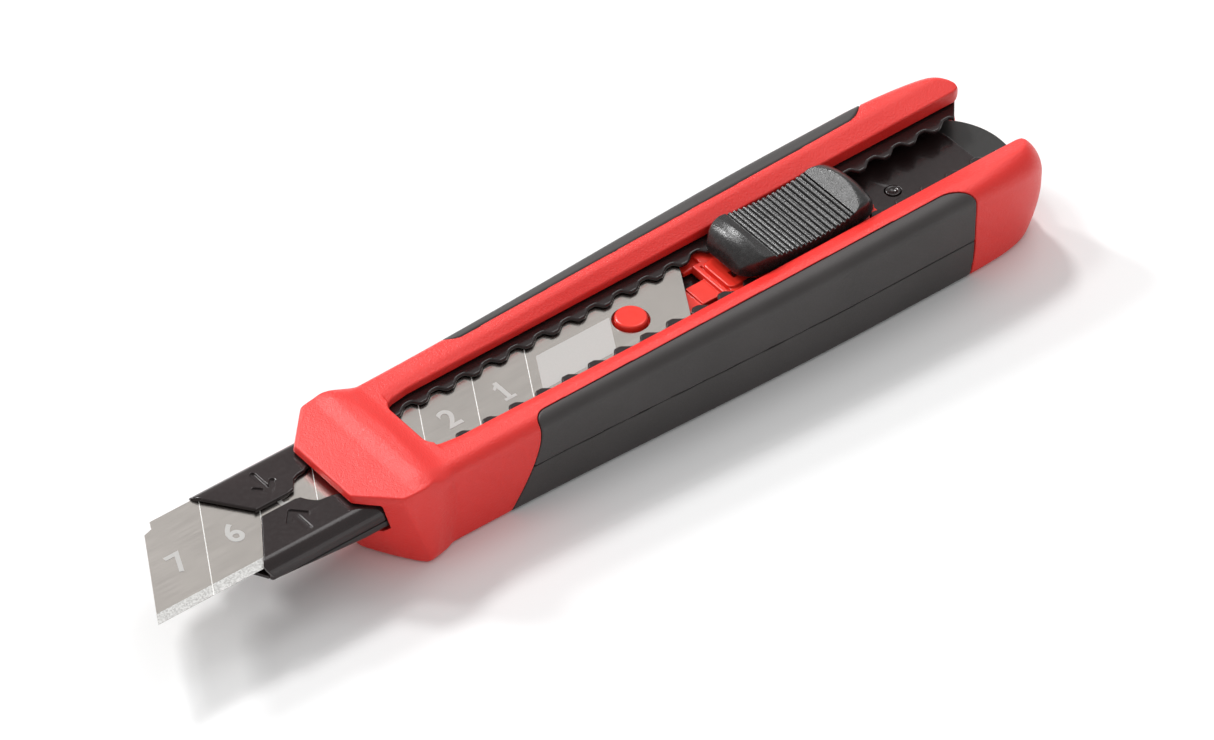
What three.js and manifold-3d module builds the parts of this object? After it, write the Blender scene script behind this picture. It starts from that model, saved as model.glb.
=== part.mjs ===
// Utility knife with an 18 mm snap-off blade, a toothed steel channel, a locking slider and a moulded
// handle. Millimetres. +X points to the tail, -X to the blade tip, +Z up. The origin is on the flat
// underside, midway along the handle. The cutting edge faces -Y.
import * as THREE from 'three';
import { mergeVertices } from 'three/addons/utils/BufferGeometryUtils.js';
import { ConvexGeometry } from 'three/addons/geometries/ConvexGeometry.js';
import Module from 'manifold-3d';

const wasm = await Module();
wasm.setup();

// ---- Driving dimensions -----------------------------------------------------------------------------
const GAP = 0.3; // clearance kept between neighbouring pieces

const BLADE = { tip: -103, length: 100, width: 18, thickness: 0.5, top: 12, segment: 10, scores: 7,
  bevel: 1.75, edge: 0.06, score: 0.12, scoreWidth: 0.3, angle: THREE.MathUtils.degToRad(60),
  holeX: -8.3, holeR: 3 };

const CHANNEL = { front: -84.5, rear: 62.8, floorRear: 58.3, floorCornerR: 5, flangeRear: 59.5, half: 10,
  bottom: 9.3, top: 12.8, wall: 0.7, floor: 0.6, bend: 1.2, setback: 0.5, flangeNotch: 6.1, seamHalf: 0.8,
  slotFront: -71.9, slotLow: 11.6 };

// The slot's front end as [distance behind its foremost point, y] along the near and the far flange.
const MOUTH_NEAR = [[4.7, -3.45], [2.5, -3.1], [1.9, -2.7], [1.1, -1.8], [0.6, -0.93]];
const MOUTH_FAR = [[0.9, 0.97], [2.3, 2.74], [3.2, 3.1], [4.75, 3.26]];

const RACK = { start: 7.4, pitch: 5, tipHalf: 4.18, rootHalf: 5.4, tipEnd: -43.7, tip: 1.4, fall: 1.6,
  root: 1.4 };

const BODY = { front: -57, tail: 65.7, tailFlat: 0.25, taperStart: 45, tailPower: 5, tailNarrow: 0.6,
  half: 12.2, flare: 2, flareFrom: -48, flareLength: 80, top: 14.95, rise: 0.0159, riseFrom: -51,
  shoulder: 2.2, shoulderGain: 1.5, shoulderFrom: 44, shoulderLength: 18, heel: 0.8, dropFrom: 59.5,
  dropLength: 6.6, drop: 6, undercut: 2.8, undercutTop: 9 };

// The collar's corners on its +Y side as [x, y, z]; the other side mirrors them.
const COLLAR = [
  [-66.4, 6.8, 14.45], [-66.6, 7.1, 12.78], [-60.8, 12.7, 14.95], [-57.2, 13.2, 15.05], [-54.2, 5, 15.2],
  [-55.4, 12.6, 15.05], [-60.9, 13, 13.9], [-55.1, 13.4, 12], [-55.1, 13.4, 1.4], [-56.7, 13.3, 0.5],
  [-62.9, 4.3, 0], [-60.7, 8.4, 0], [-58.8, 11.2, 0], [-56.9, 12.9, 0], [-53.4, 12.1, 0],
  [-52.6, 12.1, 13.2],
];

const WINDOW = { front: -50.8, ramp: 5, cornerR: 2, frontHalf: 5.82, half: 6.5, rearHalf: 7.3,
  mouthFrom: 62.4, mouthSlope: 1.2, mouthRun: 6, facetFrom: -50, facetSpan: 1.4, facetGrow: 0.0178,
  facetDepth: 0.45, facetDepthGain: 0.75, facetRun: 45 };

const GRIP = { front: -35, rear: 48, topHalf: 10.25, topFlare: 0.0125, thickness: 1, parting: 7 };

const SHELL = { wall: 1.6, floor: 1.6, boreHalf: 10.3, boreFloor: 6.9, boreChamfer: 1, cavityHalf: 9.5,
  cavityTop: 8, endWall: 5 };

const CHASSIS = { front: -82.5, rear: 65.1, half: 10, plateHalf: 9.2, plateRear: 60.5, top: 9, bottom: 7.7,
  nose: -62, lip: 0.25, noseFoot: -66, noseBottom: 7.35, noseChamfer: 0.8, tongueR: 12, tongueLength: 7,
  tongueHalf: 7.5, tongueBottom: 4.3, ribHalf: 6.5, ribWidth: 1.4, ribBottom: 2 };

const RIVET = { x: [-58, 43.3], shankR: 1.2, headR: 1.7, lift: 0.15, head: 0.5 };

const CARRIAGE = { bottom: 10.2, half: 8.9, railTop: 11.8, tongueTop: 10.8, tongueFront: -13.5,
  tongueRear: -1, tongueHalf: 3.4, armTop: 11.15, armStep: 3.1, armInner: 1.1, armOuter: -3.3,
  frameFront: 6.7, frameRear: 37.2, ledgeRear: 8.2, blockFront: 7.9, blockRear: 14.2, blockTop: 12.15,
  blockHalf: 3.5, blockY: -0.4, rearTop: 12.4, rearHalf: 3.3, rearLength: 4.5, prong: 5, prongInner: 3.9,
  groove: 0.3, grooveFloor: 11.4, slotFloor: 11, pegR: 2.55, pegTop: 12.75 };

const LOCK = { x: 23.6, halfLength: 3.4, bottom: 11.1, top: 11.6, lugTop: 11.8, lugHalfX: 0.4,
  lugInner: 4.4, lugOuter: 5.1, sideGap: 0.7, leafHalf: 2, leafThickness: 0.2, leafBow: 1 };

const PAD = { front: 9.2, rear: 36.2, half: 6.1, bottom: 13.7, top: 18.2, crown: 1.1, neckHalf: 3.3,
  saddleFront: 12.9, saddleRear: 32, saddleTop: 17, saddleDepth: 1.25, ribs: 16, ribPitch: 0.95,
  ribDepth: 0.45, ribFirst: 15, rampFrom: 30.3, rampLow: 16.45, rampTo: 35, rampHigh: 18.8, legX: 10.65,
  legY: -1.6, legHalf: 0.45, legBottom: 11.9 };

// ---- Materials --------------------------------------------------------------------------------------
function material(color, roughness, metalness) {
  return new THREE.MeshStandardMaterial({ color, roughness, metalness });
}

const redPlastic = () => material(0xd8302c, 0.42, 0);
const softGrip = () => material(0x3c3836, 0.7, 0);
const blackPlastic = () => material(0x2b2827, 0.5, 0);
const blackSteel = () => material(0x1d191a, 0.22, 0.6);
const bladeSteel = () => material(0xbdb4ab, 0.3, 1);
const springSteel = () => material(0x9a9a98, 0.35, 1);

// ---- Solid helpers ----------------------------------------------------------------------------------
function solid(geometry) {
  const bare = geometry.clone();
  bare.deleteAttribute('normal');
  bare.deleteAttribute('uv');
  const merged = mergeVertices(bare, 1e-4);
  const mesh = new wasm.Mesh({
    numProp: 3,
    vertProperties: new Float32Array(merged.attributes.position.array),
    triVerts: new Uint32Array(merged.index.array),
  });
  return new wasm.Manifold(mesh);
}

function geometryOf(body) {
  const mesh = body.getMesh();
  const geometry = new THREE.BufferGeometry();
  geometry.setAttribute('position', new THREE.BufferAttribute(new Float32Array(mesh.vertProperties), 3));
  geometry.setIndex(new THREE.BufferAttribute(new Uint32Array(mesh.triVerts), 1));
  const flat = geometry.toNonIndexed();
  flat.computeVertexNormals();
  return flat;
}

function extrude(shape, depth, curveSegments = 6) {
  return new THREE.ExtrudeGeometry(shape, { depth, bevelEnabled: false, curveSegments });
}

// A plan outline (x, y) raised from z0 to z1.
function prismZ(shape, z0, z1, curveSegments) {
  return solid(extrude(shape, z1 - z0, curveSegments).translate(0, 0, z0));
}

// A cross-section outline (y, z) swept from x0 to x1.
function prismX(shape, x0, x1, curveSegments) {
  const turn = new THREE.Matrix4().makeBasis(
    new THREE.Vector3(0, 1, 0), new THREE.Vector3(0, 0, 1), new THREE.Vector3(1, 0, 0));
  return solid(extrude(shape, x1 - x0, curveSegments).applyMatrix4(turn).translate(x0, 0, 0));
}

// A side outline (x, z) swept from y0 to y1.
function prismY(shape, y0, y1, curveSegments) {
  const turn = new THREE.Matrix4().makeBasis(
    new THREE.Vector3(1, 0, 0), new THREE.Vector3(0, 0, 1), new THREE.Vector3(0, -1, 0));
  return solid(extrude(shape, y1 - y0, curveSegments).applyMatrix4(turn).translate(0, y1, 0));
}

function box(x0, x1, y0, y1, z0, z1) {
  const geometry = new THREE.BoxGeometry(x1 - x0, y1 - y0, z1 - z0);
  return solid(geometry.translate((x0 + x1) / 2, (y0 + y1) / 2, (z0 + z1) / 2));
}

function cylinderZ(radius, x, y, z0, z1, topRadius = radius, segments = 32) {
  const geometry = new THREE.CylinderGeometry(topRadius, radius, z1 - z0, segments);
  return solid(geometry.rotateX(Math.PI / 2).translate(x, y, (z0 + z1) / 2));
}

function outline(points) {
  return new THREE.Shape(points.map(([a, b]) => new THREE.Vector2(a, b)));
}

// A plan rectangle with rounded corners.
function roundedPlan(x0, x1, half, radius) {
  const shape = new THREE.Shape();
  shape.moveTo(x0 + radius, -half);
  shape.lineTo(x1 - radius, -half);
  shape.absarc(x1 - radius, -half + radius, radius, -Math.PI / 2, 0);
  shape.lineTo(x1, half - radius);
  shape.absarc(x1 - radius, half - radius, radius, 0, Math.PI / 2);
  shape.lineTo(x0 + radius, half);
  shape.absarc(x0 + radius, half - radius, radius, Math.PI / 2, Math.PI);
  shape.lineTo(x0, -half + radius);
  shape.absarc(x0 + radius, -half + radius, radius, Math.PI, 1.5 * Math.PI);
  return shape;
}

// A closed skin through cross-sections: each is { x, ring: [[y, z], ...] } with the ring anticlockwise seen
// from +X, convex, and the same number of points in every ring.
function loft(sections) {
  const count = sections[0].ring.length;
  const positions = [];
  const index = [];
  for (const { x, ring } of sections) {
    for (const [y, z] of ring) positions.push(x, y, z);
  }
  for (let s = 0; s + 1 < sections.length; s += 1) {
    for (let i = 0; i < count; i += 1) {
      const a = s * count + i;
      const b = s * count + ((i + 1) % count);
      index.push(a, b, a + count, b, b + count, a + count);
    }
  }
  const last = (sections.length - 1) * count;
  for (let i = 1; i + 1 < count; i += 1) {
    index.push(0, i + 1, i, last, last + i, last + i + 1);
  }
  const geometry = new THREE.BufferGeometry();
  geometry.setAttribute('position', new THREE.Float32BufferAttribute(positions, 3));
  geometry.setIndex(index);
  return solid(geometry);
}

function stations(from, to, steps) {
  return Array.from({ length: steps + 1 }, (_, i) => THREE.MathUtils.lerp(from, to, i / steps));
}

// ---- Handle shape -----------------------------------------------------------------------------------
function bodyHalf(x) {
  const b = BODY;
  const flare = b.flare * THREE.MathUtils.smoothstep(x, b.flareFrom, b.flareFrom + b.flareLength);
  const t = Math.max(0, (x - b.taperStart) / (b.tail - b.taperStart));
  return (b.half + flare - b.tailNarrow * t * t) * (1 - t ** b.tailPower) ** (1 / b.tailPower);
}

function bodyTop(x) {
  const t = Math.max(0, (x - BODY.dropFrom) / BODY.dropLength);
  const fall = BODY.drop * (1 - Math.sqrt(Math.max(0, 1 - t * t)));
  return BODY.top + BODY.rise * (x - BODY.riseFrom) - fall;
}

function bodyShoulder(x) {
  const grow = THREE.MathUtils.smoothstep(x, BODY.shoulderFrom, BODY.shoulderFrom + BODY.shoulderLength);
  return BODY.shoulder + BODY.shoulderGain * grow;
}

// Handle cross-section: flat base with small heels, upright sides and broad shoulders.
function bodyRing(half, top, round) {
  const shoulder = Math.min(round, half * 0.4);
  const corners = [
    { y: half - BODY.heel, z: BODY.heel, r: BODY.heel, from: -90, steps: 3 },
    { y: half - shoulder, z: top - shoulder, r: shoulder, from: 0, steps: 5 },
    { y: shoulder - half, z: top - shoulder, r: shoulder, from: 90, steps: 5 },
    { y: BODY.heel - half, z: BODY.heel, r: BODY.heel, from: 180, steps: 3 },
  ];
  return corners.flatMap(({ y, z, r, from, steps }) => stations(from, from + 90, steps).map((deg) => {
    const a = THREE.MathUtils.degToRad(deg);
    return [y + r * Math.cos(a), z + r * Math.sin(a)];
  }));
}

function bodyLoft(from, inset) {
  const end = BODY.tail - BODY.tailFlat;
  const last = end - inset;
  const straight = stations(from, BODY.taperStart, 14);
  const tail = stations(0, Math.PI / 2, 9).slice(1);
  const curved = tail.map((a) => BODY.taperStart + (last - BODY.taperStart) * Math.sin(a));
  return loft([...straight, ...curved].map((x) => {
    const half = bodyHalf(Math.min(x + inset, end)) - inset;
    return { x, ring: bodyRing(half, bodyTop(x) - inset, bodyShoulder(x)) };
  }));
}

// The flared collar round the channel: a faceted block, its roof falling towards the blade.
function collar() {
  const points = COLLAR.flatMap(([x, y, z]) => [new THREE.Vector3(x, y, z), new THREE.Vector3(x, -y, z)]);
  return solid(new ConvexGeometry(points));
}

function windowHalf(x) {
  const t = (x - WINDOW.front) / (BODY.tail - WINDOW.front);
  return THREE.MathUtils.lerp(WINDOW.half, WINDOW.rearHalf, t);
}

// The long window over the rack: rounded at the front, open at the tail.
function windowCut() {
  const r = WINDOW.cornerR;
  const end = BODY.tail + 2;
  const ramp = WINDOW.front + WINDOW.ramp;
  const plan = new THREE.Shape();
  plan.moveTo(end, -windowHalf(end));
  plan.lineTo(end, windowHalf(end));
  plan.lineTo(ramp, windowHalf(ramp));
  plan.lineTo(WINDOW.front + r, WINDOW.frontHalf);
  plan.quadraticCurveTo(WINDOW.front, WINDOW.frontHalf, WINDOW.front, WINDOW.frontHalf - r);
  plan.lineTo(WINDOW.front, r - WINDOW.frontHalf);
  plan.quadraticCurveTo(WINDOW.front, -WINDOW.frontHalf, WINDOW.front + r, -WINDOW.frontHalf);
  plan.lineTo(ramp, -windowHalf(ramp));
  return prismZ(plan, CHANNEL.top - 1, 20, 5);
}

// The flared mouth between the ends of the two rails.
function mouthCut() {
  const front = WINDOW.mouthFrom;
  const rear = front + WINDOW.mouthRun;
  const inner = windowHalf(front);
  const outer = inner + WINDOW.mouthSlope * WINDOW.mouthRun;
  const plan = outline([[front, -inner], [rear, -outer], [rear, outer], [front, inner]]);
  return prismZ(plan, CHASSIS.tongueBottom - GAP, 20);
}

// The sloping facets on the inner edge of both rails.
function facetCut() {
  const sections = stations(WINDOW.facetFrom, BODY.tail + 2, 12).map((x) => {
    const inner = windowHalf(x) - 0.02;
    const depth = WINDOW.facetDepth + WINDOW.facetDepthGain
      * THREE.MathUtils.smoothstep(x, WINDOW.facetFrom, WINDOW.facetFrom + WINDOW.facetRun);
    const run = WINDOW.facetSpan + WINDOW.facetGrow * (x - WINDOW.facetFrom);
    const rail = bodyTop(Math.min(x, BODY.dropFrom));
    const low = rail - depth;
    return { x, ring: [[-inner, low], [inner, low], [inner + 4 * run, low + 4 * depth],
      [-inner - 4 * run, low + 4 * depth]] };
  });
  return loft(sections);
}

// Side outline of the soft-touch zone, grown by a margin at its front and rear edges.
function gripZone(margin, low, high, half = 20) {
  const front = GRIP.front - margin;
  const rear = GRIP.rear + margin;
  const shape = new THREE.Shape();
  shape.moveTo(front - 6.6, -1);
  shape.lineTo(rear - 1, -1);
  shape.quadraticCurveTo(rear + 0.6, 6, rear, 12.5);
  shape.bezierCurveTo(rear, 15, rear - 2, 16.2, rear - 6.5, 16.6);
  shape.lineTo(rear - 6.5, 20);
  shape.lineTo(front + 2.3, 20);
  shape.lineTo(front + 2.3, 15.4);
  shape.bezierCurveTo(front + 1.6, 14.6, front + 0.3, 13.4, front, 12);
  shape.bezierCurveTo(front - 0.6, 8.6, front - 2.2, 5, front - 6.6, -1);
  return prismY(shape, -half, half, 10).intersect(box(-60, 60, -half, half, low, high));
}

// Everything outside the line where the soft grip ends on top of one rail.
function outsideRail(side, margin) {
  const inner = (x) => side * (GRIP.topHalf + GRIP.topFlare * (x - GRIP.front) - margin);
  const points = [[-60, inner(-60)], [60, inner(60)], [60, side * 20], [-60, side * 20]];
  return prismZ(outline(side > 0 ? points : points.reverse()), -1, 20);
}

function channelBore() {
  const h = SHELL.boreHalf;
  const low = SHELL.boreFloor;
  const cut = SHELL.boreChamfer;
  const section = outline([[cut - h, low], [h - cut, low], [h, low + cut], [h, CHANNEL.top + GAP],
    [-h, CHANNEL.top + GAP], [-h, low + cut]]);
  return prismX(section, CHANNEL.front, BODY.tail + 2);
}

// The tail's end leans in towards the flat base.
function undercut() {
  const { tail, undercut: depth, undercutTop: top } = BODY;
  const side = outline([[tail - depth, -1], [tail + GAP, top], [tail + 4, top], [tail + 4, -1]]);
  return prismY(side, -20, 20);
}

function housing() {
  const zoneCut = gripZone(GAP, -1, 20);
  const sideCut = outsideRail(1, GAP).add(outsideRail(-1, GAP)).intersect(zoneCut);
  const baseCut = gripZone(GAP, -1, GRIP.parting);
  const core = bodyLoft(BODY.front + 5, GRIP.thickness + GAP)
    .intersect(box(-50, 60, -20, 20, GRIP.parting, 20));
  const skin = bodyLoft(BODY.front, 0).add(collar());
  const s = SHELL;
  const cavity = box(BODY.front + 5, BODY.tail - s.endWall, -s.cavityHalf, s.cavityHalf, s.floor,
    s.cavityTop).intersect(bodyLoft(BODY.front, s.wall));
  const gateHalf = CHASSIS.tongueHalf + GAP;
  const gateFront = BODY.tail - CHASSIS.tongueLength - 1;
  const tailGate = box(gateFront, BODY.tail + 2, -gateHalf, gateHalf, CHASSIS.tongueBottom - GAP, 20);
  return skin.subtract(sideCut).add(core).subtract(baseCut).subtract(channelBore()).subtract(cavity)
    .subtract(windowCut()).subtract(facetCut()).subtract(mouthCut()).subtract(tailGate)
    .subtract(undercut());
}

function grip(side) {
  const core = bodyLoft(BODY.front, GRIP.thickness);
  return bodyLoft(BODY.front, 0).intersect(gripZone(0, GRIP.parting + GAP / 2, 20))
    .intersect(outsideRail(side, 0)).subtract(core);
}

function baseShell() {
  const tub = bodyLoft(BODY.front, 0).intersect(gripZone(0, -1, GRIP.parting - GAP));
  const hollow = bodyLoft(BODY.front, SHELL.wall)
    .intersect(box(GRIP.front + 1, GRIP.rear - 2, -20, 20, SHELL.floor, 20));
  return tub.subtract(hollow);
}

// ---- Chassis, channel and rivets --------------------------------------------------------------------
// The black inner body: a tapered nose under the channel, a long plate on two ribs, and a rounded tongue that
// shows between the tail's rails.
function chassis() {
  const c = CHASSIS;
  const plate = box(c.nose, c.plateRear, -c.plateHalf, c.plateHalf, c.bottom, c.top);
  const disc = (low, high) => cylinderZ(c.tongueR, c.rear - c.tongueR, 0, low, high, c.tongueR, 48);
  const roundEnd = disc(c.bottom, c.top)
    .intersect(box(c.rear - c.tongueR, c.rear, -c.plateHalf, c.plateHalf, 0, 20));
  const tongue = disc(c.tongueBottom, c.top)
    .intersect(box(BODY.tail - c.tongueLength, c.rear, -c.tongueHalf, c.tongueHalf, 0, 20));
  const round = roundEnd.add(tongue);
  const nose = prismY(outline([[c.front, c.top - c.lip], [c.noseFoot, c.noseBottom],
    [c.nose + 1, c.noseBottom], [c.nose + 1, c.top], [c.front, c.top]]), -c.half, c.half);
  const low = c.noseBottom;
  const chamfer = prismX(outline([[c.half - c.noseChamfer, low - 1], [c.half + 1, low - 1],
    [c.half + 1, low + c.noseChamfer + 1], [c.half - c.noseChamfer, low]]), c.front - 1, c.nose + 1.5);
  const noseBody = nose.subtract(chamfer).subtract(chamfer.mirror([0, 1, 0]));
  const rib = box(GRIP.front + 4, GRIP.rear - 6, c.ribHalf - c.ribWidth, c.ribHalf, c.ribBottom,
    c.bottom + 0.1);
  return plate.add(round).add(noseBody).add(rib).add(rib.mirror([0, 1, 0]))
    .subtract(rivetHoles(c.bottom - 2, c.top + 1));
}

function rivetHoles(low, high) {
  return RIVET.x.map((x) => cylinderZ(RIVET.shankR + GAP, x, 0, low, high)).reduce((a, b) => a.add(b));
}

function rivet(x) {
  const { shankR, headR } = RIVET;
  const under = CHASSIS.bottom - GAP;
  const low = under - RIVET.head;
  const high = CHANNEL.bottom + CHANNEL.floor + RIVET.lift;
  const profile = [[0, low], [headR, low], [headR, under], [shankR, under], [shankR, high - 0.1],
    [shankR - 0.2, high], [0, high]];
  const geometry = new THREE.LatheGeometry(profile.map(([r, z]) => new THREE.Vector2(r, z)), 24);
  return solid(geometry.rotateX(Math.PI / 2).translate(x, 0, 0));
}

// One flange's toothed edge from the slot's front to the channel's rear, as plan points for side +1 or -1.
function rackEdge(side) {
  const points = [];
  const first = Math.ceil((CHANNEL.slotFront + RACK.start - RACK.tipEnd) / RACK.pitch);
  const last = Math.floor((CHANNEL.flangeRear - 2 - RACK.tipEnd) / RACK.pitch);
  const step = (RACK.rootHalf - RACK.tipHalf);
  for (let k = first; k <= last; k += 1) {
    const end = RACK.tipEnd + RACK.pitch * k;
    const root = end + RACK.fall;
    points.push([end - RACK.tip, RACK.tipHalf + 0.1 * step], [end - RACK.tip + 0.3, RACK.tipHalf]);
    points.push([end - 0.2, RACK.tipHalf], [end + 0.25, RACK.tipHalf + 0.12 * step]);
    points.push([root - 0.3, RACK.rootHalf - 0.12 * step], [root, RACK.rootHalf]);
    points.push([root + RACK.root - 0.2, RACK.rootHalf], [root + RACK.root, RACK.rootHalf - 0.12 * step]);
  }
  return points.map(([x, w]) => [x, side * w]);
}

function slotCut() {
  const left = rackEdge(1);
  const right = rackEdge(-1).reverse();
  const mouth = CHANNEL.slotFront;
  const end = CHANNEL.flangeRear;
  const placed = (points) => points.map(([x, y]) => [mouth + x, y]);
  const plan = outline([...right, ...placed(MOUTH_NEAR), [mouth, -CHANNEL.seamHalf],
    [mouth, CHANNEL.seamHalf], ...placed(MOUTH_FAR), ...left,
    [end, RACK.rootHalf], [end, -RACK.rootHalf]]);
  return prismZ(plan, CHANNEL.slotLow, CHANNEL.top + 1);
}

// The channel's outer cross-section, with bent corners.
function channelSection() {
  const { bend, half, bottom, top } = CHANNEL;
  const outer = new THREE.Shape();
  outer.moveTo(bend - half, bottom);
  outer.lineTo(half - bend, bottom);
  outer.absarc(half - bend, bottom + bend, bend, -Math.PI / 2, 0);
  outer.lineTo(half, top - bend);
  outer.absarc(half - bend, top - bend, bend, 0, Math.PI / 2);
  outer.lineTo(bend - half, top);
  outer.absarc(bend - half, top - bend, bend, Math.PI / 2, Math.PI);
  outer.lineTo(-half, bottom + bend);
  outer.absarc(bend - half, bottom + bend, bend, Math.PI, 1.5 * Math.PI);
  return outer;
}

// The notch between the two flanges' slanted front ends, and the seam behind it.
function flangeFrontCut() {
  const { front, half, top, seamHalf, slotFront, slotLow } = CHANNEL;
  const lip = front + CHANNEL.setback;
  const apex = front + CHANNEL.flangeNotch;
  const vee = prismZ(outline([[front - 1, -11], [lip, -11], [lip, 1 - half], [apex, -0.9],
    [apex + 0.5, 0.9], [lip, half - 1], [lip, 11], [front - 1, 11]]), CHANNEL.bottom + 1.6, top + 1);
  return vee.add(box(front, slotFront + 0.1, -seamHalf, seamHalf, slotLow, top + 1));
}

// The channel's tail end: flanges cut back at a slant, and a floor with rounded corners.
function channelEndCut() {
  const c = CHANNEL;
  const inner = c.half - c.wall;
  const flange = prismZ(outline([[c.flangeRear - 0.6, 0], [c.flangeRear, 4.6], [c.rear, 8.4],
    [c.rear + 1, 8.4], [c.rear + 1, 0]]), c.slotLow, c.top + 1);
  const floor = prismZ(roundedPlan(c.floorRear - 30, c.floorRear, inner - 0.1, c.floorCornerR),
    c.bottom - 1, c.bottom + 1);
  const tailFloor = box(c.floorRear - c.floorCornerR - 1, c.rear + 1, -inner, inner, c.bottom - 1,
    c.bottom + 1).subtract(floor);
  return flange.add(flange.mirror([0, 1, 0])).add(tailFloor);
}

function channel() {
  const c = CHANNEL;
  const inner = c.half - c.wall;
  const hollow = box(c.front - 1, c.rear + 1, -inner, inner, c.bottom + c.floor, c.top - c.wall);
  return prismX(channelSection(), c.front, c.rear, 4).subtract(hollow).subtract(flangeFrontCut())
    .subtract(slotCut()).subtract(channelEndCut()).subtract(rivetHoles(c.bottom - 1, c.top - 1));
}

// ---- Blade and slider -------------------------------------------------------------------------------
function slant(y) {
  return (y + BLADE.width / 2) / Math.tan(BLADE.angle);
}

function blade() {
  const b = BLADE;
  const h = b.width / 2;
  const plan = outline([[b.tip, -h], [b.tip + b.length, -h], [b.tip + b.length + slant(h), h],
    [b.tip + slant(h) + 1.2, h], [b.tip + slant(h) + 0.5, h - 1.4], [b.tip + slant(h - 1.8), h - 1.8]]);
  const low = b.top - b.thickness;
  const mid = b.top - b.thickness / 2;
  let body = prismZ(plan, low, b.top);
  const bevel = (sign) => prismX(outline([[-h - 1, mid + sign * (b.edge / 2 - 0.12)],
    [-h + b.bevel, mid + sign * b.thickness / 2], [-h + b.bevel, mid + sign * 1],
    [-h - 1, mid + sign * 1]]), b.tip - 2, b.tip + b.length + 12);
  body = body.subtract(bevel(1)).subtract(bevel(-1))
    .subtract(cylinderZ(b.holeR, b.holeX, 0, low - 1, b.top + 1));
  for (let k = 1; k <= b.scores; k += 1) {
    const x = b.tip + k * b.segment;
    const w = b.scoreWidth / 2;
    const score = prismZ(outline([[x - w, -h], [x + w, -h], [x + w + slant(h), h], [x - w + slant(h), h]]),
      b.top - b.score, b.top + 1);
    body = body.subtract(score);
  }
  return body;
}

// The slider's tongue, with a peg through the blade, and the arm behind it.
function carriageTongue() {
  const c = CARRIAGE;
  const tongue = prismZ(roundedPlan(c.tongueFront, c.tongueRear, c.tongueHalf, 3), c.bottom, c.tongueTop, 6);
  const peg = cylinderZ(c.pegR, BLADE.holeX, 0, c.bottom + 0.2, c.pegTop - 0.35)
    .add(cylinderZ(c.pegR, BLADE.holeX, 0, c.pegTop - 0.36, c.pegTop, c.pegR - 0.4));
  const arm = box(c.tongueRear - 5, c.armStep + 1, c.armOuter, c.armInner, c.bottom, c.tongueTop)
    .add(box(c.armStep, c.frameFront + 3, c.armOuter, c.armInner, c.bottom, c.armTop));
  return tongue.add(peg).add(arm);
}

// Red slider carriage: the tongue, and a frame that runs under the flanges.
function carriage() {
  const c = CARRIAGE;
  const frame = prismZ(roundedPlan(c.frameFront, c.frameRear, c.half, 1.2), c.bottom, c.railTop, 4)
    .subtract(box(c.prong, c.ledgeRear, c.prongInner, c.half + 1, c.armTop, 20))
    .subtract(box(c.blockFront - c.groove, c.blockFront, -c.blockHalf, c.blockHalf, c.grooveFloor, 20));
  const prong = box(c.prong, c.frameFront + 2, c.prongInner, c.half, c.bottom, c.armTop);
  const block = prismZ(roundedPlan(c.blockFront, c.blockRear, c.blockHalf, 1), c.bottom, c.blockTop, 4)
    .translate([0, c.blockY, 0]);
  const rearBar = prismZ(roundedPlan(c.frameRear - c.rearLength, c.frameRear, c.rearHalf, 1),
    c.bottom, c.rearTop, 4);
  const pocketX = LOCK.halfLength + 2 * GAP;
  const pocketY = LOCK.lugOuter + LOCK.sideGap;
  const pocket = box(LOCK.x - pocketX, LOCK.x + pocketX, -pocketY, pocketY, c.bottom - 1, 20);
  const reach = PAD.legHalf + GAP;
  const legSlot = box(PAD.legX - reach, PAD.legX + reach, PAD.legY - reach, PAD.legY + reach,
    c.slotFloor, 20);
  return carriageTongue().add(frame).add(prong).add(block).add(rearBar).subtract(pocket)
    .subtract(legSlot);
}

// The lock plate: its two bent-up lugs reach for the rack's recesses, and stop just under the flanges.
function lockPlate() {
  const l = LOCK;
  const plate = box(l.x - l.halfLength, l.x + l.halfLength, -l.lugInner, l.lugInner, l.bottom, l.top);
  const ear = box(l.x - l.lugHalfX, l.x + l.lugHalfX, -l.lugOuter, l.lugOuter, l.bottom, l.top);
  const lug = box(l.x - l.lugHalfX, l.x + l.lugHalfX, l.lugInner, l.lugOuter, l.bottom, l.lugTop);
  return plate.add(ear).add(lug).add(lug.mirror([0, 1, 0]));
}

// A bowed leaf under the lock plate, its ends on the channel's floor side.
function lockSpring() {
  const leaf = new THREE.Shape();
  const low = CARRIAGE.bottom + 0.02;
  const x0 = LOCK.x - LOCK.halfLength;
  const x1 = LOCK.x + LOCK.halfLength;
  const high = low + LOCK.leafThickness;
  leaf.moveTo(x0, low);
  leaf.quadraticCurveTo(LOCK.x, low + LOCK.leafBow, x1, low);
  leaf.lineTo(x1, high);
  leaf.quadraticCurveTo(LOCK.x, high + LOCK.leafBow, x0, high);
  return prismY(leaf, -LOCK.leafHalf, LOCK.leafHalf, 8);
}

// Thumb pad: a crowned, round-ended block with a ribbed saddle, a neck down to the lock plate and a guide leg.
function padBlock() {
  const p = PAD;
  const middle = (p.front + p.rear) / 2;
  const reach = (p.rear - p.front) / 2;
  const sections = stations(-Math.PI / 2, Math.PI / 2, 16).slice(1, -1).map((a) => {
    const x = middle + reach * Math.sin(a);
    const end = Math.abs(Math.sin(a));
    const half = p.half * (1 - 0.42 * end ** 8);
    const top = p.bottom + (p.top - p.bottom) * (1 - 0.85 * end ** 11);
    const crown = Math.min(p.crown, (top - p.bottom) * 0.4);
    const arch = stations(half - 0.35, 0.35 - half, 8).map((y) => [y, top - crown * (y / half) ** 2]);
    return { x, ring: [[-half, p.bottom], [half, p.bottom], [half, top - crown - 0.3], ...arch,
      [-half, top - crown - 0.3]] };
  });
  return loft(sections);
}

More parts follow.
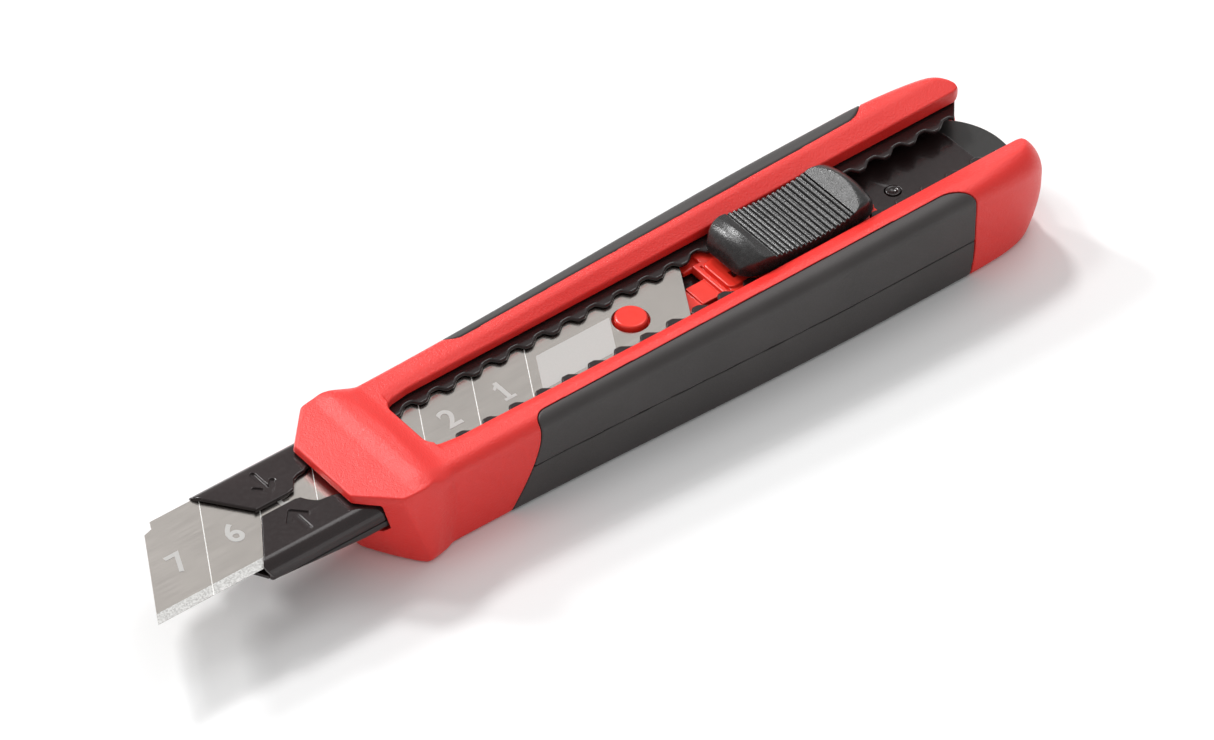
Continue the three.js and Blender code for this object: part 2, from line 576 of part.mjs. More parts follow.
function saddleCut() {
  const p = PAD;
  const middle = (p.saddleFront + p.saddleRear) / 2;
  const reach = (p.saddleRear - p.saddleFront) / 2;
  const floor = (x) => p.saddleTop - p.saddleDepth * (1 - ((x - middle) / reach) ** 2);
  const points = [[p.saddleFront, 20], [p.saddleFront, p.saddleTop + 0.3],
    [p.saddleFront + 0.3, p.saddleTop]];
  for (let k = 0; k < p.ribs; k += 1) {
    const x = p.ribFirst + k * p.ribPitch;
    points.push([x, floor(x) - p.ribDepth], [x + 0.35, floor(x) - p.ribDepth]);
    points.push([x + 0.5, floor(x)], [x + 0.8, floor(x)]);
  }
  points.push([p.rampFrom, p.rampLow], [p.rampTo, p.rampHigh], [p.rampTo, 20]);
  return prismY(outline(points.reverse()), -10, 10);
}

function thumbPad() {
  const p = PAD;
  const neck = box(LOCK.x - 3, LOCK.x + 3, -p.neckHalf, p.neckHalf, LOCK.top + 0.1, p.bottom + 0.5);
  const leg = box(p.legX - p.legHalf, p.legX + p.legHalf, p.legY - p.legHalf, p.legY + p.legHalf,
    p.legBottom, p.bottom + 0.1);
  return padBlock().subtract(saddleCut()).add(neck).add(leg);
}

// ---- Assembly ---------------------------------------------------------------------------------------
const knife = new THREE.Group();

function place(name, body, looks, group = knife) {
  const mesh = new THREE.Mesh(geometryOf(body), looks);
  mesh.name = name;
  group.add(mesh);
}

place('housing', housing(), redPlastic());
place('grip_near', grip(-1), softGrip());
place('grip_far', grip(1), softGrip());
place('base_shell', baseShell(), softGrip());
place('chassis', chassis(), blackPlastic());
place('channel', channel(), blackSteel());
place('channel_rivet_front', rivet(RIVET.x[0]), blackSteel());
place('channel_rivet_rear', rivet(RIVET.x[1]), blackSteel());

const slider = new THREE.Group();
knife.add(slider);
place('blade', blade(), bladeSteel(), slider);
place('carriage', carriage(), redPlastic(), slider);
place('lock_spring', lockSpring(), springSteel(), slider);
place('lock_plate', lockPlate(), springSteel(), slider);
place('thumb_pad', thumbPad(), blackPlastic(), slider);

export default knife;
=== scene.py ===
"""Looks for the snap-off blade utility knife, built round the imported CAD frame.

Shapes are in millimetres in the frame's axes (+X tail, -X blade tip, +Z up) and scaled to metres as meshes
are made. Moulded and pressed pieces are skins of signed distance fields, so every edge gets its own radius.
In the tables of sizes, a name that ends in _x, _y or _z holds a position or a range along that axis.
"""

import math
from types import SimpleNamespace as Sizes

import bmesh
import bpy
import numpy as np
from mathutils import Matrix, Vector


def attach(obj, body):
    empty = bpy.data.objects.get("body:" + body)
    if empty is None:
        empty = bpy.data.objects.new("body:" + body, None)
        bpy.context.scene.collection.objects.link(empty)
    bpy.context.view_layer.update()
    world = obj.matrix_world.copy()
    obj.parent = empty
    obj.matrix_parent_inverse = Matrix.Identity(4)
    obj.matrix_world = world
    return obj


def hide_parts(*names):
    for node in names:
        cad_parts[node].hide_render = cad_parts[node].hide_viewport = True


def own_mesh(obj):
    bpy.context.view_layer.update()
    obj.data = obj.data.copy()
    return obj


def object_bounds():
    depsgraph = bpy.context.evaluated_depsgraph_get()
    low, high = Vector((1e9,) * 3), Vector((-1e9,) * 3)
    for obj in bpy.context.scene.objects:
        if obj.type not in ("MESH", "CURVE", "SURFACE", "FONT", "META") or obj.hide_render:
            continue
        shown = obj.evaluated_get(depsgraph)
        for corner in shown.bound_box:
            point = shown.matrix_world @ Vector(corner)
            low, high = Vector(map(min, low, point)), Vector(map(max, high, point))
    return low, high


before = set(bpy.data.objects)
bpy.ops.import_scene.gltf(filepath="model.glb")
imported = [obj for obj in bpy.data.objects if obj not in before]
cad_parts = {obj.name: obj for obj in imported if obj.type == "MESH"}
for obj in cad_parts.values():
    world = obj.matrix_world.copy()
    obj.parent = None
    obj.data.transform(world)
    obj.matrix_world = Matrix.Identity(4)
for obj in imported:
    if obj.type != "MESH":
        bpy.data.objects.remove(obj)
CAD_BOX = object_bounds()
MM = 0.001
COARSE = 1.0
ROOT2 = 1.414


# ---- Distance-field kit ------------------------------------------------------------------------------------
def ease(x, a, b):
    t = np.clip((x - a) / (b - a), 0, 1)
    return t * t * (3 - 2 * t)


def both(a, b, r=0.0):
    """Where both hold, with an outer corner of radius r."""
    if np.ndim(r) == 0 and r <= 0:
        return np.maximum(a, b)
    return np.minimum(np.maximum(a, b), -r) + np.hypot(np.maximum(a + r, 0), np.maximum(b + r, 0))


def either(a, b, r=0.0):
    return -both(-a, -b, r)


def less(a, b, r=0.0):
    return both(a, -b, r)


def slab(v, low, high):
    return np.maximum(low - v, v - high)


def brick(x, y, z, xs, ys, zs, r=0.0):
    return both(both(slab(x, *xs), slab(y, *ys), r), slab(z, *zs), r)


def gradient(field, p, e=0.05):
    steps = np.eye(3) * e
    return np.stack([field(*(p + d).T) - field(*(p - d).T) for d in steps], 1) / (2 * e)


def settle(field, p, limit):
    """Moves points onto the surface of the field."""
    for _ in range(4):
        g = gradient(field, p)
        move = field(*p.T)[:, None] * g / np.maximum((g * g).sum(1), 0.2)[:, None]
        far = np.maximum(np.linalg.norm(move, axis=1) / limit, 1)
        p = p - move / far[:, None]
    return p


def mesh_of(name, points, faces):
    mesh = bpy.data.meshes.new(name)
    mesh.vertices.add(len(points))
    mesh.vertices.foreach_set("co", np.asarray(points, np.float32).ravel())
    sides = faces.shape[1]
    mesh.loops.add(faces.size)
    mesh.loops.foreach_set("vertex_index", faces.astype(np.int32).ravel())
    mesh.polygons.add(len(faces))
    mesh.polygons.foreach_set("loop_start", np.arange(0, faces.size, sides, dtype=np.int32))
    mesh.update(calc_edges=True)
    return mesh


def nets(field, low, high, h):
    """The field's surface as quads between the cells of a grid."""
    axes = [np.arange(a - 1.5 * h, b + 2.5 * h, h) for a, b in zip(low, high)]
    grid = np.meshgrid(*axes, indexing="ij", sparse=True)
    f = np.broadcast_to(field(*grid), [len(a) for a in axes]).astype(np.float32)
    inside = f < 0
    size = [len(a) - 1 for a in axes]
    count = np.zeros(size, np.int8)
    for corner in np.ndindex(2, 2, 2):
        count += inside[tuple(slice(c, c + n) for c, n in zip(corner, size))]
    cells = np.argwhere((count > 0) & (count < 8))
    number = np.full(size, -1)
    number[tuple(cells.T)] = np.arange(len(cells))
    total, hits = np.zeros((len(cells), 3)), np.zeros(len(cells))
    for axis in range(3):
        for u, v in np.ndindex(2, 2):
            start = np.zeros(3, int)
            start[(axis + 1) % 3], start[(axis + 2) % 3] = u, v
            end = start.copy()
            end[axis] = 1
            f0, f1 = f[tuple((cells + start).T)], f[tuple((cells + end).T)]
            cross = (f0 < 0) != (f1 < 0)
            t = np.where(cross, f0 / np.where(cross, f0 - f1, 1), 0)
            total += np.where(cross[:, None], start + t[:, None] * (end - start), 0)
            hits += cross
    points = (cells + total / hits[:, None]) * h + [a[0] for a in axes]
    quads = []
    for axis in range(3):
        order = (axis, (axis + 1) % 3, (axis + 2) % 3)
        solid, cell = inside.transpose(order), number.transpose(order)
        start = solid[:-1, 1:-1, 1:-1]
        i, j, k = np.nonzero(start != solid[1:, 1:-1, 1:-1])
        ring = np.stack([cell[i, j, k], cell[i, j + 1, k], cell[i, j + 1, k + 1], cell[i, j, k + 1]], 1)
        flip = ~start[i, j, k]
        ring[flip] = ring[flip][:, ::-1]
        quads.append(ring)
    return points, np.concatenate(quads)


def skin(name, field, low, high, step, keep=1.0):
    """A smooth-shaded mesh of a field. keep is the share of faces that stays after flat areas are thinned."""
    h = step * COARSE
    points, quads = nets(field, low, high, h)
    mesh = mesh_of(name, settle(field, points, h), quads)
    if keep < 1:
        holder = bpy.data.objects.new(name + "_raw", mesh)
        bpy.context.scene.collection.objects.link(holder)
        thin = holder.modifiers.new("thin", "DECIMATE")
        thin.ratio = keep
        ready = holder.evaluated_get(bpy.context.evaluated_depsgraph_get())
        mesh = bpy.data.meshes.new_from_object(ready)
        mesh.name = name
        bpy.data.objects.remove(holder)
    co = np.zeros(len(mesh.vertices) * 3, np.float32)
    mesh.vertices.foreach_get("co", co)
    p = settle(field, co.reshape(-1, 3).astype(float), h / 3)
    g = gradient(field, p, 0.07)
    mesh.vertices.foreach_set("co", (p * MM).astype(np.float32).ravel())
    mesh.polygons.foreach_set("use_smooth", np.ones(len(mesh.polygons), bool))
    mesh.normals_split_custom_set_from_vertices(g / np.maximum(np.linalg.norm(g, axis=1), 1e-6)[:, None])
    mesh.update()
    return mesh


# ---- Materials ---------------------------------------------------------------------------------------------
class Look:
    """A Principled material and short calls for its procedural nodes, all in object coordinates."""

    def __init__(self, name, colour, roughness, metallic=0.0):
        self.material = bpy.data.materials.new(name)
        self.material.use_nodes = True
        self.tree = self.material.node_tree
        self.shader = self.tree.nodes["Principled BSDF"]
        self.shader.inputs["Base Color"].default_value = (*colour, 1)
        self.shader.inputs["Roughness"].default_value = roughness
        self.shader.inputs["Metallic"].default_value = metallic
        self.colour = colour
        self.place = self.tree.nodes.new("ShaderNodeTexCoord").outputs["Object"]

    def set(self, **values):
        for name, value in values.items():
            self.shader.inputs[name.replace("_", " ")].default_value = value
        return self

    def stretch(self, x, y, z):
        node = self.tree.nodes.new("ShaderNodeMapping")
        node.inputs["Scale"].default_value = (x, y, z)
        self.tree.links.new(self.place, node.inputs["Vector"])
        return node.outputs["Vector"]

    def noise(self, scale, detail=2.0, where=None):
        node = self.tree.nodes.new("ShaderNodeTexNoise")
        node.inputs["Scale"].default_value = scale
        node.inputs["Detail"].default_value = detail
        self.tree.links.new(where or self.place, node.inputs["Vector"])
        return node.outputs["Fac"]

    def range(self, value, a, b, low, high):
        node = self.tree.nodes.new("ShaderNodeMapRange")
        for name, v in (("From Min", a), ("From Max", b), ("To Min", low), ("To Max", high)):
            node.inputs[name].default_value = v
        self.tree.links.new(value, node.inputs["Value"])
        return node.outputs["Result"]

    def mix(self, factor, first, second):
        node = self.tree.nodes.new("ShaderNodeMix")
        node.data_type = "RGBA"
        node.inputs[6].default_value = (*first, 1)
        node.inputs[7].default_value = (*second, 1)
        self.tree.links.new(factor, node.inputs[0])
        return node.outputs[2]

    def tint(self, factor, other):
        """Blends the base colour towards another one."""
        self.tree.links.new(self.mix(factor, self.colour, other), self.shader.inputs["Base Color"])
        return self

    def rough(self, value):
        self.tree.links.new(value, self.shader.inputs["Roughness"])
        return self

    def bump(self, *heights, strength=0.3, depth=0.00005):
        """Bump nodes in a chain, one for each height."""
        normal = None
        for height in heights:
            node = self.tree.nodes.new("ShaderNodeBump")
            node.inputs["Strength"].default_value = strength
            node.inputs["Distance"].default_value = depth
            self.tree.links.new(height, node.inputs["Height"])
            if normal:
                self.tree.links.new(normal, node.inputs["Normal"])
            normal = node.outputs["Normal"]
        self.tree.links.new(normal, self.shader.inputs["Normal"])
        return self


def red_shell():
    look = Look("red_spark_textured_plastic", (0.78, 0.023, 0.018), 0.38)
    grain, fine = look.noise(2600, 2), look.noise(6500, 1)
    look.tint(look.range(look.noise(60, 3), 0.35, 0.7, 0, 1), (0.82, 0.031, 0.024))
    look.rough(look.range(grain, 0.3, 0.7, 0.3, 0.44))
    return look.bump(grain, fine, strength=0.6, depth=0.00009).material


def red_slider():
    look = Look("red_smooth_plastic", (0.84, 0.038, 0.022), 0.22)
    look.tint(look.range(look.noise(150, 2), 0.4, 0.65, 0, 1), (0.80, 0.032, 0.02))
    look.rough(look.range(look.noise(900, 2), 0.3, 0.7, 0.19, 0.27))
    return look.bump(look.noise(700, 1), strength=0.15, depth=0.00005).material


def grip_rubber():
    look = Look("soft_touch_grip", (0.038, 0.033, 0.032), 0.5)
    grain = look.noise(5200, 2)
    look.tint(look.range(look.noise(90, 3), 0.35, 0.7, 0, 1), (0.048, 0.042, 0.041))
    look.rough(look.range(grain, 0.3, 0.7, 0.46, 0.6))
    look.set(Sheen_Weight=0.1, Sheen_Roughness=0.4)
    return look.bump(grain, strength=0.3, depth=0.00004).material


def black_plastic():
    look = Look("black_matt_plastic", (0.014, 0.013, 0.012), 0.36)
    look.tint(look.range(look.noise(80, 3), 0.4, 0.7, 0, 1), (0.02, 0.018, 0.017))
    look.rough(look.range(look.noise(2500, 2), 0.3, 0.7, 0.3, 0.4))
    return look.bump(look.noise(4000, 2), strength=0.25, depth=0.00004).material


def pad_plastic():
    look = Look("black_sparkle_plastic", (0.014, 0.013, 0.013), 0.24)
    grain, fine = look.noise(4200, 1), look.noise(8000, 1)
    look.tint(look.range(look.noise(1500, 2), 0.45, 0.7, 0, 1), (0.026, 0.025, 0.025))
    look.rough(look.range(fine, 0.3, 0.7, 0.2, 0.34))
    look.set(Specular_IOR_Level=0.55)
    return look.bump(grain, fine, strength=0.45, depth=0.00004).material


def black_steel():
    look = Look("black_coated_steel", (0.018, 0.011, 0.011), 0.2)
    look.rough(look.range(look.noise(1400, 3), 0.3, 0.75, 0.15, 0.24))
    look.tint(look.range(look.noise(120, 3), 0.45, 0.75, 0, 1), (0.024, 0.015, 0.015))
    return look.bump(look.noise(900, 2), strength=0.12, depth=0.00006).material


def blade_steel():
    look = Look("satin_blade_steel", (0.62, 0.58, 0.54), 0.21, 1.0)
    lines = look.noise(1.0, 3, look.stretch(120, 9000, 9000))
    look.rough(look.range(lines, 0.3, 0.7, 0.17, 0.25))
    look.tint(look.range(look.noise(70, 3), 0.4, 0.7, 0, 1), tuple(c * 0.93 for c in look.colour))
    return look.bump(lines, strength=0.08, depth=0.00003).material


def edge_steel():
    look = Look("ground_edge_steel", (0.5, 0.495, 0.485), 0.4, 1.0)
    lines = look.noise(1.0, 3, look.stretch(9000, 500, 500))
    look.rough(look.range(lines, 0.3, 0.7, 0.34, 0.5))
    look.tint(look.range(look.noise(3500, 4), 0.4, 0.65, 0, 1), (0.3, 0.295, 0.285))
    return look.bump(lines, strength=0.2, depth=0.00004).material


def score_steel():
    look = Look("bright_score_steel", (0.93, 0.92, 0.9), 0.3, 0.1)
    return look.rough(look.range(look.noise(3000, 2), 0.3, 0.7, 0.2, 0.4)).material


def frosted_mark():
    look = Look("frosted_mark", (0.45, 0.44, 0.425), 0.6, 0.2)
    look.rough(look.range(look.noise(4000, 2), 0.3, 0.7, 0.5, 0.7))
    return look.bump(look.noise(7000, 1), strength=0.2, depth=0.00003).material


def spring_steel():
    look = Look("rolled_spring_steel", (0.52, 0.52, 0.5), 0.3, 1.0)
    lines = look.noise(1.0, 2, look.stretch(200, 5000, 5000))
    look.rough(look.range(lines, 0.3, 0.7, 0.24, 0.38))
    return look.bump(lines, strength=0.1, depth=0.00003).material


def piece(name, mesh, body, materials, slot, *stands_for):
    for material in materials:
        mesh.materials.append(material)
    made = bpy.data.objects.new(name, mesh)
    bpy.context.scene.collection.objects.link(made)
    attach(made, body)
    if stands_for:
        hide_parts(*stands_for)
    return made


# ---- Sizes of the handle, in millimetres -------------------------------------------------------------------
BODY = Sizes(front=-57, tail=65.7, taper_from=45, tail_narrow=0.6, half=12.2, flare=2, flare_from=-48,
             flare_to=32, top=14.95, rise=0.0159, rise_from=-51, drop_from=59.5, drop_run=6.6, drop=6,
             drop_slope=0.91, shoulder=2.2, shoulder_gain=1.5, shoulder_from=44, shoulder_to=62, heel=0.8,
             undercut=2.8, undercut_top=9, front_r=1, collar_blend=2.5, wall=1.6)
TAPER_RUN = BODY.tail - BODY.taper_from

# The collar's corners on its +Y side as (x, y, z); the other side mirrors them.
COLLAR = [
    (-66.4, 6.8, 14.45), (-66.6, 7.1, 12.78), (-60.8, 12.7, 14.95), (-57.2, 13.2, 15.05), (-54.2, 5, 15.2),
    (-55.4, 12.6, 15.05), (-60.9, 13, 13.9), (-55.1, 13.4, 12), (-55.1, 13.4, 1.4), (-56.7, 13.3, 0.5),
    (-62.9, 4.3, 0), (-60.7, 8.4, 0), (-58.8, 11.2, 0), (-56.9, 12.9, 0), (-53.4, 12.1, 0),
    (-52.6, 12.1, 13.2),
]

WINDOW = Sizes(front=-50.8, corner=2, low=11.8, front_half=5.82, half=6.5, rear_half=7.3, ramp=5,
               ramp_half=6.534, mouth_from=62.4, mouth_half=7.28, mouth_slope=1.2, mouth_lean=1.56,
               mouth_front=61, mouth_low=4, facet_from=-50, facet_to=-5, facet_depth=0.45, facet_gain=0.75,
               facet_span=1.4, facet_grow=0.0178)

GRIP = Sizes(front=-35, front_sweep=6.6, front_sweep_z=(-1, 12), rear=48, rear_sweep_z=(-1, 6),
             top_half=10.25, top_flare=0.0125, front_corner=2.2, rear_corner=5, thickness=1,
             seat_depth=1.3, gap=0.12, parting=7, low=7.06, base_top=6.92)

SHELL = Sizes(bore_half=10.3, bore_z=(6.9, 13.1), bore_x=(-84, 70), bore_chamfer=2.4, hollow_x=(-52, 60.7),
              hollow_y=(-9.5, 9.5), hollow_z=(1.6, 8), gate_x=(57.7, 70), gate_y=(-7.8, 7.8), gate_z=(4, 9.3),
              base_x=(-34, 46), base_y=(-20, 20), base_z=(1.6, 20))


# ---- Handle ------------------------------------------------------------------------------------------------
def half_width(x):
    t = np.maximum(0, (x - BODY.taper_from) / TAPER_RUN)
    return BODY.half + BODY.flare * ease(x, BODY.flare_from, BODY.flare_to) - BODY.tail_narrow * t * t


def top_height(x):
    t = np.clip((x - BODY.drop_from) / BODY.drop_run, 0, 0.995)
    return BODY.top + BODY.rise * (x - BODY.rise_from) - BODY.drop * (1 - np.sqrt(1 - t * t))


def outer(x, y, z):
    """The handle's skin without its flat base: upright sides, rounded shoulders, an undercut round tail."""
    b = BODY
    x = x + b.undercut * np.clip((b.undercut_top - z) / b.undercut_top, 0, 1) ** 2
    w, t = np.abs(y) / half_width(x), np.maximum(0, (x - b.taper_from) / TAPER_RUN)
    n = np.maximum((w**5 + t**5) ** 0.2, 0.2)
    slope = np.hypot(w**4 / half_width(x), t**4 / TAPER_RUN) / n**4
    side = (n - 1) / np.maximum(slope, 0.01)
    steep = np.clip((x - b.drop_from) / b.drop_run, 0, 0.95)
    lean = np.sqrt(1 + (b.drop_slope * steep / np.sqrt(1 - steep * steep)) ** 2)
    shoulder = b.shoulder + b.shoulder_gain * ease(x, b.shoulder_from, b.shoulder_to)
    return both(side, (z - top_height(x)) / lean, shoulder)


def collar_planes():
    """The faces of the collar's hull as (normal, distance), one for each plane, without the flat base."""
    bm = bmesh.new()
    for x, y, z in COLLAR:
        bm.verts.new((x, y, z))
        bm.verts.new((x, -y, z))
    bmesh.ops.convex_hull(bm, input=bm.verts[:])
    bmesh.ops.recalc_face_normals(bm, faces=bm.faces[:])
    planes = []
    for face in bm.faces:
        n = face.normal.copy()
        if n.z > -0.9 and all(n.dot(m) < 0.998 for m, _ in planes):
            planes.append((n, n.dot(face.verts[0].co)))
    bm.free()
    return planes


COLLAR_PLANES = collar_planes()


def collar(x, y, z, r=0.5, p=4):
    total, most = 0.0, -1e3
    for n, d in COLLAR_PLANES:
        a = n.x * x + n.y * y + n.z * z - d
        total = total + np.maximum(a + r, 0) ** p
        most = np.maximum(most, a)
    return np.where(total > 0, total ** (1 / p) - r, most)


def body_skin(x, y, z):
    trunk = both(outer(x, y, z), BODY.front - x, BODY.front_r)
    whole = either(trunk, collar(x, y, z), BODY.collar_blend)
    return both(whole, -z, BODY.heel)


def window_half(x):
    w = WINDOW
    run = w.half + (w.rear_half - w.half) * (x - w.front) / (BODY.tail - w.front)
    ramp = w.front_half + (w.ramp_half - w.front_half) * (x - w.front) / w.ramp
    return np.where(x < w.front + w.ramp, ramp, run)


def window(x, y, z):
    plan = both(np.abs(y) - window_half(x), WINDOW.front - x, WINDOW.corner)
    return both(plan, WINDOW.low - z)


def mouth(x, y, z):
    """The flared opening between the ends of the two rails."""
    w = WINDOW
    side = np.abs(y) - w.mouth_half - w.mouth_slope * (x - w.mouth_from)
    return both(np.maximum(side / w.mouth_lean, w.mouth_front - x), w.mouth_low - z)


def facet(x, y, z):
    """Above the sloping facet on the inner edge of each rail."""
    w = WINDOW
    depth = w.facet_depth + w.facet_gain * ease(x, w.facet_from, w.facet_to)
    run = w.facet_span + w.facet_grow * (x - w.facet_from)
    low = top_height(np.minimum(x, BODY.drop_from)) - depth
    below = low + depth * (np.abs(y) - window_half(x)) / run - z
    return both(below / np.sqrt(1 + (depth / run) ** 2), w.facet_from - x, r=0.3)


def fall(z, low, high):
    """0 at the upper height and above, 1 at the lower one and below."""
    return np.clip((high - z) / (high - low), 0, 1)


def grip_ends(x, z):
    """Front and rear lines of the soft-touch area, curving forward towards the base."""
    front = GRIP.front - GRIP.front_sweep * fall(z, *GRIP.front_sweep_z) ** 1.6
    rear = GRIP.rear - fall(z, *GRIP.rear_sweep_z) ** 2
    return front - x, x - rear


def soft_zone(x, y, z):
    """The soft-touch area above the parting line, with rounded corners where it meets the rail's edge."""
    front, rear = grip_ends(x, z)
    line = GRIP.top_half + GRIP.top_flare * (x - GRIP.front)
    edge = line - np.abs(y) - np.maximum(top_height(x) - z, 0)
    return np.maximum(both(front, edge, GRIP.front_corner), both(rear, edge, GRIP.rear_corner))


def bore(x, y, z):
    """The channel's seat through the handle, with chamfered lower corners."""
    s = SHELL
    section = both(np.abs(y) - s.bore_half, slab(z, *s.bore_z), r=0.3)
    section = both(section, (np.abs(y) - z - s.bore_chamfer) / ROOT2)
    return both(section, slab(x, *s.bore_x))


def housing(x, y, z):
    s = SHELL
    skin_d = body_skin(x, y, z)
    f = less(skin_d, bore(x, y, z), r=0.2)
    f = less(f, both(brick(x, y, z, s.hollow_x, s.hollow_y, s.hollow_z, r=1), skin_d + BODY.wall))
    f = less(f, window(x, y, z), r=0.25)
    f = less(f, mouth(x, y, z), r=0.8)
    f = less(f, facet(x, y, z), r=0.2)
    f = less(f, brick(x, y, z, s.gate_x, s.gate_y, s.gate_z), r=0.3)
    f = less(f, both(soft_zone(x, y, z) - GRIP.gap, -GRIP.seat_depth - skin_d), r=0.2)
    front, rear = grip_ends(x, z)
    return less(f, both(np.maximum(front, rear) - GRIP.gap, z - GRIP.parting), r=0.12)


def grip(side):
    def field(x, y, z):
        skin_d = body_skin(x, y, z)
        f = both(both(skin_d, soft_zone(x, y, z), r=0.2), GRIP.low - z, r=0.1)
        return both(both(f, -GRIP.thickness - skin_d, r=0.1), -side * y)

    return field


def base_shell(x, y, z):
    s = SHELL
    skin_d = body_skin(x, y, z)
    front, rear = grip_ends(x, z)
    f = both(both(skin_d, np.maximum(front, rear), r=0.15), z - GRIP.base_top, r=0.1)
    return less(f, both(skin_d + BODY.wall, brick(x, y, z, s.base_x, s.base_y, s.base_z, r=1)), r=0.15)


# ---- Chassis, channel, rivets ------------------------------------------------------------------------------
CHASSIS = Sizes(plate_x=(-62, 60.5), plate_half=9.2, plate_z=(7.7, 9), end_x=53.1, end_r=12, tongue_from=58.7,
                tongue_half=7.5, tongue_z=(4.3, 8.9), nose_x=(-82.5, -61), nose_half=10, nose_top=9.27,
                nose_low=8.75, nose_drop=1.4, nose_run=16.5, rib_x=(-31, 42), rib_y=(5.1, 6.5),
                rib_z=(2, 7.8))

RIVET = Sizes(front=-58, rear=43.3, shank=1.2, shank_z=(7, 10.05), head=1.7, head_z=(6.9, 7.4), dish_z=11.2,
              dish_r=1.4, chassis_hole=1.5, channel_hole=1.35)

RACK = Sizes(tooth_end=-43.7, pitch=5, places=(0, 1.6, 3, 3.6, 5), halves=(4.18, 5.4, 5.4, 4.18, 4.18),
             softening=0.35, samples=7)

SLOT = Sizes(front=-71.9, rear=59.5, low=11.6, mouth=6.8, near_x=(0, 0.6, 1.1, 1.9, 2.5, 4.7, 6.8),
             near_y=(0.8, 0.93, 1.8, 2.7, 3.1, 3.45, 4.2), far_x=(0, 0.9, 2.3, 3.2, 4.75, 6.8),
             far_y=(0.8, 0.97, 2.74, 3.1, 3.26, 4.2), flank=0.9, flank_foot=(4.2, 4.5), flank_tip=(5.1, 5.38))

CHANNEL = Sizes(front=-84.5, rear=62.8, half=10, top=12.8, low=9.3, bend=2.2, lower_r=0.4, inner_half=9.3,
                inner_top=12.1, inner_low=9.9, inner_bend=1.5, nose_from=7, nose_run=3, nose_slope=0.57,
                notch_front=-84, notch_near=-78.4, notch_far=-77.9, notch_inner=0.9, notch_outer=9,
                notch_low=10.9, seam_half=0.8, end_y=(0, 4.6, 8.4, 9), end_x=(58.9, 59.5, 62.8, 66),
                floor_rear=58.3, floor_half=9.2, floor_corner=5, floor_top=10.3, rivet_top=11.8)

ARROW = Sizes(reach=2.2, barb=1.6, barb_back=0.5, half=0.42, low=12.5, near=(-74.2, -4.8), far=(-74.0, 4.9))


def chassis(x, y, z):
    c = CHASSIS
    ay = np.abs(y)
    f = brick(x, y, z, c.plate_x, (-c.plate_half, c.plate_half), c.plate_z, r=0.2)
    disc = np.hypot(x - c.end_x, y) - c.end_r
    round_end = both(both(disc, c.end_x - x), ay - c.plate_half)
    f = either(f, both(round_end, slab(z, *c.plate_z), r=0.3))
    tongue = both(both(disc, c.tongue_from - x), ay - c.tongue_half)
    f = either(f, both(tongue, slab(z, *c.tongue_z), r=0.3))
    under = c.nose_low - c.nose_drop * np.clip((x - c.nose_x[0]) / c.nose_run, 0, 1)
    nose = both(slab(x, *c.nose_x), ay - c.nose_half, r=0.3)
    nose = both(nose, np.maximum(under - z, z - c.nose_top), r=0.06)
    f = either(f, both(nose, (ay - c.plate_half + under - z) / ROOT2, r=0.3))
    f = either(f, brick(x, ay, z, c.rib_x, c.rib_y, c.rib_z, r=0.3))
    return less(f, rivet_bore(x, y, RIVET.chassis_hole))


def rivet_bore(x, y, r):
    return np.minimum(np.hypot(x - RIVET.front, y), np.hypot(x - RIVET.rear, y)) - r


def rack_half(x):
    """Half width of the slot: a ratchet wave, softened by averaging samples a little to each side."""
    wave = 0
    for d in np.linspace(-RACK.softening, RACK.softening, RACK.samples):
        place = (x + d - RACK.tooth_end) % RACK.pitch
        wave = wave + np.interp(place, RACK.places, RACK.halves) / RACK.samples
    return wave


def slot(x, y, z):
    """The toothed slot between the flanges, and the narrower mouth at its front."""
    s = x - SLOT.front
    near, far = np.interp(s, SLOT.near_x, SLOT.near_y), np.interp(s, SLOT.far_x, SLOT.far_y)
    wide = np.where(s < SLOT.mouth, np.where(y < 0, near, far), rack_half(x))
    steep = 1 + SLOT.flank * ease(wide, *SLOT.flank_foot) * (1 - ease(wide, *SLOT.flank_tip))
    return both(both((np.abs(y) - wide) / steep, slab(x, SLOT.front, SLOT.rear), r=0.1), SLOT.low - z)


def stroke(x, y, a, b, r):
    """Distance to a line from a to b in plan, less r."""
    ax, ay, dx, dy = a[0], a[1], b[0] - a[0], b[1] - a[1]
    t = np.clip(((x - ax) * dx + (y - ay) * dy) / (dx * dx + dy * dy), 0, 1)
    return np.hypot(x - ax - t * dx, y - ay - t * dy) - r


def arrow(x, y, centre, up):
    cx, cy = centre
    head = (cx, cy + ARROW.reach * up)
    f = stroke(x, y, (cx, cy - ARROW.reach * up), head, ARROW.half)
    for barb in (-ARROW.barb, ARROW.barb):
        f = np.minimum(f, stroke(x, y, head, (cx + barb, cy + ARROW.barb_back * up), ARROW.half))
    return f


def flange_notch(x, y):
    """The notch between the slanted front ends of the near and the far flange."""
    c, ay = CHANNEL, np.abs(y)
    slant = (ay - c.notch_inner) / (c.notch_outer - c.notch_inner)
    apex = np.where(y < 0, c.notch_near, c.notch_far)
    ahead = apex + (c.notch_front - apex) * slant
    ahead = np.where(ay < c.notch_inner, c.notch_near, np.where(ay > c.notch_outer, c.notch_front, ahead))
    return (x - ahead) * 0.8


